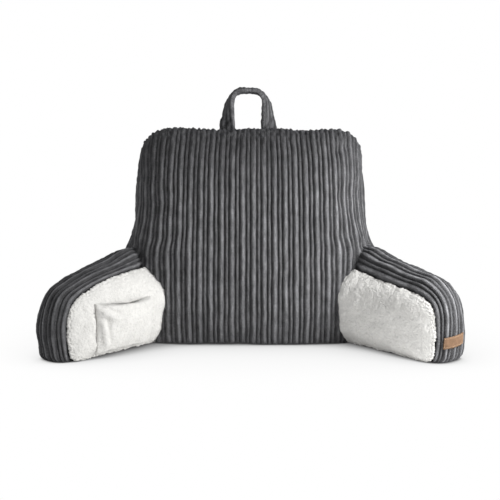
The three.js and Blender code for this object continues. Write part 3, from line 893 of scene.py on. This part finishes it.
class PILLOW_OT_pocket(bpy.types.Operator):
    """Build the patch pocket on the left fleece panel"""
    bl_idname = "pillow.pocket"
    bl_label = "Pocket"

    def execute(self, context):
        props = context.scene.pillow_fleece
        seam = seam_places(SEAMS[-1], 360)
        s = np.linspace(-1, 1, 150)
        a = POCKET_FROM + (POCKET_TO - POCKET_FROM) * (s + 1) / 2
        grids, flats = [], []
        for lift, turn in self.levels():
            opening = smooth_step(lift, 0, POCKET_MOUTH) ** 0.8
            gape = POCKET_GAPE * opening * (1 - np.abs(s) ** 4)
            face = face_height(seam, a, min(lift, POCKET_MOUTH)) + PILE_THICKNESS - 1.0
            half = POCKET_WALL / 2 * turn * (1 - np.abs(s) ** 12) ** 0.5 + 0.1
            hem = 1 + 0.35 * math.exp(-(((lift - POCKET_MOUTH + 7) / 5) ** 2))
            sag = 7 * (1 - s**2) * smooth_step(lift, 40, POCKET_MOUTH)
            middle = face + gape + POCKET_WALL / 2
            height = lift - sag
            place = np.stack([a, height], axis=-1)
            grids.append(np.concatenate([
                arm_point(-1, a, middle + half * hem, height),
                arm_point(-1, a, middle - half, height)[::-1],
            ]))
            flats.append(np.concatenate([place, place[::-1]]))
        grid, flat = np.array(grids), np.array(flats)
        height, pile = fleece_relief(props, flat + 200, 50)
        across, up = flat[..., 0], flat[..., 1]
        crease, ridge = (folds(across, up, lines) for lines in (POCKET_CREASES, POCKET_RIDGES))
        height = 0.75 * height - 3.0 * crease + 3.0 * ridge
        outside = np.repeat([1.0, 0.15], len(s))[None]
        grid = stand(grid + grid_normals(grid) * (height * outside)[..., None])
        obj = grid_object("pocket_left_fleece", grid, None, pile)
        finish_piece(obj, fleece_curls, props, "fleece", 0.3, "pocket_left")
        return {"FINISHED"}

    def levels(self):
        """Heights from the foot to the mouth, each with its share of the wall, and round at both ends."""
        ends = [(math.sin(k), math.cos(k)) for k in np.linspace(0, math.pi / 2 - 0.06, 7)]
        foot = [(POCKET_FOOT + POCKET_WALL / 2 * (1 - rise), share) for rise, share in ends[::-1]]
        wall = [(lift, 1.0) for lift in np.linspace(POCKET_FOOT + 3.6, POCKET_MOUTH - 3.6, 84)]
        mouth = [(POCKET_MOUTH - POCKET_WALL / 2 * (1 - rise), share) for rise, share in ends]
        return foot + wall + mouth


def face_height(seam, a, z):
    """n of the arm's inner face at places a and one height z."""
    way = np.stack([a, np.full_like(a, z)], axis=-1) - FACE_CENTRE
    rim = seam["at"] - FACE_CENTRE
    order = np.argsort(np.arctan2(rim[:, 1], rim[:, 0]))
    bearing = np.arctan2(rim[:, 1], rim[:, 0])[order]
    to = np.arctan2(way[:, 1], way[:, 0])
    reach = np.interp(to, bearing, np.linalg.norm(rim, axis=1)[order])
    inner = np.interp(to, bearing, seam["inner"][order])
    return inner_face(inner, a, np.linalg.norm(way, axis=1) / reach)


class PILLOW_OT_handle(bpy.types.Operator):
    """Build the carry loop as one ribbed strap"""
    bl_idname = "pillow.handle"
    bl_label = "Carry loop"

    def execute(self, context):
        props = context.scene.pillow_plush
        left = [(-x, z, 180 - turn) for x, z, turn in STRAP_LINE[-2::-1]]
        line, along = even_points(dense_curve(STRAP_LINE + left, False), 130, False)
        sides = 56
        angle = np.linspace(0, 2 * math.pi, sides, endpoint=False)
        c, s = np.cos(angle), np.sin(angle)
        u = STRAP_WIDTH / 2 * np.sign(c) * np.abs(c) ** 0.6
        rib = np.abs(np.sin(math.pi * u / (STRAP_WIDTH / 3)))
        v = np.sign(s) * STRAP_THICKNESS / 2 * np.abs(s) ** 0.55 * (0.68 + 0.32 * rib**0.6)
        rings = []
        for (x, z, turn), (dx, dz, _) in zip(line, np.gradient(line, axis=0)):
            ahead = np.array([dx, 0, dz]) / math.hypot(dx, dz)
            width = np.array([math.cos(math.radians(turn)), math.sin(math.radians(turn)), 0])
            width = width - ahead * (width @ ahead)
            width /= np.linalg.norm(width)
            centre = np.array([x + STRAP_CENTRE[0], STRAP_CENTRE[1], z])
            rings.append(centre + u[:, None] * width + v[:, None] * np.cross(ahead, width))
        grid = np.array(rings)
        end = along[-1]
        lines = ((-14, 24), (12, 52), 3.0), ((-10, 8), (14, 34), 2.6), ((-12, end - 46), (12, end - 24), 2.6)
        crease = folds(u[None], along[:, None], lines)
        shape = 0.45 * waves(grid, 8, 61) + 0.6 * waves(grid, 24, 62) - 1.6 * crease
        grid = grid + grid_normals(grid) * shape[..., None]
        # The pile attribute paints shade in the furrows between the strap's ribs, along its rounded edges and
        # in its creases.
        edge = smooth_step(np.abs(u), 0.8 * STRAP_WIDTH / 2, 0.97 * STRAP_WIDTH / 2)
        seam = edge * smooth_step(np.abs(v), 0.2 * STRAP_THICKNESS, 0.42 * STRAP_THICKNESS)
        pile = np.broadcast_to(0.7 * rib * (1 - 0.9 * seam), grid.shape[:2]) * (1 - 0.7 * crease)
        uv = np.stack(np.broadcast_arrays(np.append(u, u[0])[None], along[:, None]), axis=-1) * MM
        obj = grid_object("handle_strap", grid, uv, pile)
        finish_piece(obj, plush_pile, props, "ribbed_plush", 0.4, "handle")
        return {"FINISHED"}


class PILLOW_OT_label(bpy.types.Operator):
    """Build the bare patch on the end of the right arm, with its stitches"""
    bl_idname = "pillow.label"
    bl_label = "Patch"

    def execute(self, context):
        props = context.scene.pillow_patch
        seam = seam_places(SEAMS[1], 720)
        tip = (seam["at"][:, 0] > 150) & (seam["out"][:, 0] > 0.2)
        order = np.argsort(seam["at"][tip][:, 1])
        column = {key: seam[key][tip][order] for key in ("at", "crown", "inner", "out")}
        lift = context.scene.pillow_plush.wide / MM - RIB_FOOT + 0.4
        patch = self.sheet(column, lift, props.thickness)
        finish_piece(patch, patch_hide, props, "patch", None, "label")
        stitches = self.stitches(column, lift + props.thickness / MM)
        finish_piece(stitches, patch_thread, props, "patch", None, "label")
        return {"FINISHED"}

    def on_band(self, column, across, up, lift):
        """Where a place on the patch lies, from its share across and up and its lift off the band."""
        heights = LABEL_LOW + LABEL_RISE * across + LABEL_HEIGHT * up

        def level(values):
            return np.interp(heights, column["at"][:, 1], values)

        place = {
            "at": np.array([[level(column["at"][:, 0]), heights]]),
            "crown": np.array([level(column["crown"])]),
            "inner": np.array([level(column["inner"])]),
            "out": np.array([[level(column["out"][:, k]) for k in (0, 1)]]),
        }
        t = LABEL_SPAN[0] + (LABEL_SPAN[1] - LABEL_SPAN[0]) * across
        wave = 0.35 * math.sin(across * 19) * (0.4 + 0.6 * abs(2 * up - 1))
        return (band_ring(1, place, t, lift + wave)[0] + SHIFT) * MM

    def sheet(self, column, lift, thickness):
        bpy.ops.object.select_all(action="DESELECT")
        bpy.ops.mesh.primitive_grid_add(x_subdivisions=44, y_subdivisions=18, size=1, location=(0, 0, 0))
        patch = bpy.context.object
        patch.name = "label_patch"
        for vertex in patch.data.vertices:
            across, up = vertex.co.x + 0.5, vertex.co.y + 0.5
            ragged = 1 + 0.012 * math.sin(across * 31 + 1) + 0.01 * math.sin(up * 23)
            vertex.co = self.on_band(column, across, 0.5 + (up - 0.5) * ragged, lift)
        bpy.ops.object.shade_smooth()
        wall = patch.modifiers.new("Wall", "SOLIDIFY")
        wall.thickness = thickness
        wall.offset = 1
        bevel = patch.modifiers.new("Edge", "BEVEL")
        bevel.width = 0.0004
        bevel.segments = 2
        bevel.angle_limit = math.radians(50)
        bpy.ops.object.modifier_apply(modifier=wall.name)
        bpy.ops.object.modifier_apply(modifier=bevel.name)
        bpy.ops.object.mode_set(mode="EDIT")
        bpy.ops.mesh.select_all(action="SELECT")
        bpy.ops.mesh.normals_make_consistent(inside=False)
        bpy.ops.object.mode_set(mode="OBJECT")
        return patch

    def stitches(self, column, lift):
        """Short stitches just inside the patch's four edges, each a small rounded bar."""
        side_inset, edge_inset, count_long, count_short = 0.05, 0.12, 15, 6
        long_shares = np.linspace(side_inset, 1 - side_inset, count_long + 1)
        short_shares = np.linspace(edge_inset, 1 - edge_inset, count_short + 1)
        runs = []
        for up in (edge_inset, 1 - edge_inset):
            runs += [((p, up), (q, up)) for p, q in zip(long_shares, long_shares[1:])]
        for across in (side_inset, 1 - side_inset):
            runs += [((across, p), (across, q)) for p, q in zip(short_shares, short_shares[1:])]
        bars = []
        for start, end in runs:
            ends = [Vector(self.on_band(column, *spot, lift)) for spot in (start, end)]
            bars.append(self.bar(ends[0].lerp(ends[1], 0.15), ends[0].lerp(ends[1], 0.85)))
        bpy.ops.object.select_all(action="DESELECT")
        for bar in bars:
            bar.select_set(True)
        bpy.context.view_layer.objects.active = bars[0]
        bpy.ops.object.join()
        bars[0].name = "label_stitches"
        bpy.ops.object.shade_smooth()
        return bars[0]

    def bar(self, start, end):
        bpy.ops.object.select_all(action="DESELECT")
        bpy.ops.mesh.primitive_uv_sphere_add(segments=8, ring_count=6, radius=1, location=(start + end) / 2)
        bar = bpy.context.object
        bar.scale = (THREAD_RADIUS, THREAD_RADIUS, (end - start).length / 2)
        bar.rotation_euler = (end - start).to_track_quat("Z", "Y").to_euler()
        bpy.ops.object.transform_apply(location=True, rotation=True, scale=True)
        return bar


class PILLOW_OT_stage(bpy.types.Operator):
    """Set the floor, the studio light and the camera"""
    bl_idname = "pillow.stage"
    bl_label = "Stage"

    def execute(self, context):
        props = context.scene.pillow_stage
        scene = context.scene
        bpy.ops.object.select_all(action="DESELECT")
        bpy.ops.mesh.primitive_plane_add(size=16, location=(0, 0, 0))
        floor = context.object
        floor.name = "floor"
        floor.data.materials.append(floor_material(props))
        self.light("key_light", (0.64, -0.38, 0.45), props.key, 0.35)
        self.light("fill_light", (-2.0, -0.7, 0.6), props.fill, 1.2)
        self.sky(scene, props.sky)
        camera = bpy.data.cameras.new("camera")
        camera.lens = props.lens
        camera.sensor_width = 36
        eye = bpy.data.objects.new("camera", camera)
        eye.location = Vector(props.eye) + Vector(SHIFT * MM)
        eye.rotation_euler = (math.pi / 2 - props.dip, 0, 0)
        scene.collection.objects.link(eye)
        scene.camera = eye
        scene.view_settings.view_transform = "Standard"
        return {"FINISHED"}

    def light(self, name, place, power, size):
        lamp = bpy.data.lights.new(name, "AREA")
        lamp.energy = power
        lamp.size = size
        obj = bpy.data.objects.new(name, lamp)
        obj.location = place
        obj.rotation_euler = (Vector((0, 0, 0.2)) - Vector(place)).to_track_quat("-Z", "Y").to_euler()
        obj.visible_camera = False
        bpy.context.scene.collection.objects.link(obj)

    def sky(self, scene, strength):
        """Soft light from all round, with plain white behind the object."""
        world = bpy.data.worlds.new("studio")
        scene.world = world
        world.use_nodes = True
        tree = world.node_tree
        soft = tree.nodes["Background"]
        soft.inputs["Color"].default_value = (1, 1, 1, 1)
        soft.inputs["Strength"].default_value = strength
        white = tree.nodes.new("ShaderNodeBackground")
        white.inputs["Color"].default_value = (1, 1, 1, 1)
        path = tree.nodes.new("ShaderNodeLightPath")
        mix = tree.nodes.new("ShaderNodeMixShader")
        tree.links.new(path.outputs["Is Camera Ray"], mix.inputs[0])
        tree.links.new(soft.outputs[0], mix.inputs[1])
        tree.links.new(white.outputs[0], mix.inputs[2])
        tree.links.new(mix.outputs[0], tree.nodes["World Output"].inputs["Surface"])


class PILLOW_PT_panel(bpy.types.Panel):
    bl_label = "Backrest pillow"
    bl_idname = "PILLOW_PT_panel"
    bl_space_type = "VIEW_3D"
    bl_region_type = "UI"
    bl_category = "Pillow"

    def draw(self, context):
        for group, operators in PANEL_ROWS:
            box = self.layout.box()
            settings = getattr(context.scene, group)
            for key in settings.__annotations__:
                box.prop(settings, key)
            for operator in operators:
                box.operator(operator.bl_idname)


SETTINGS = {
    "pillow_plush": PlushSettings,
    "pillow_fleece": FleeceSettings,
    "pillow_patch": PatchSettings,
    "pillow_stage": StageSettings,
}
PANEL_ROWS = (
    ("pillow_plush", (PILLOW_OT_back, PILLOW_OT_arms, PILLOW_OT_handle)),
    ("pillow_fleece", (PILLOW_OT_panels, PILLOW_OT_pocket)),
    ("pillow_patch", (PILLOW_OT_label,)),
    ("pillow_stage", (PILLOW_OT_stage,)),
)
OPERATORS = tuple(operator for _, operators in PANEL_ROWS for operator in operators)
CLASSES = (*SETTINGS.values(), *OPERATORS, PILLOW_PT_panel)


def register():
    for cls in CLASSES:
        bpy.utils.register_class(cls)
    for name, cls in SETTINGS.items():
        setattr(bpy.types.Scene, name, bpy.props.PointerProperty(type=cls))


def unregister():
    for name in SETTINGS:
        delattr(bpy.types.Scene, name)
    for cls in reversed(CLASSES):
        bpy.utils.unregister_class(cls)


def main():
    register()
    bpy.ops.pillow.back()
    bpy.ops.pillow.arms()
    bpy.ops.pillow.panels()
    bpy.ops.pillow.pocket()
    bpy.ops.pillow.handle()
    bpy.ops.pillow.label()
    bpy.ops.pillow.stage()


if __name__ == "__main__":
    main()
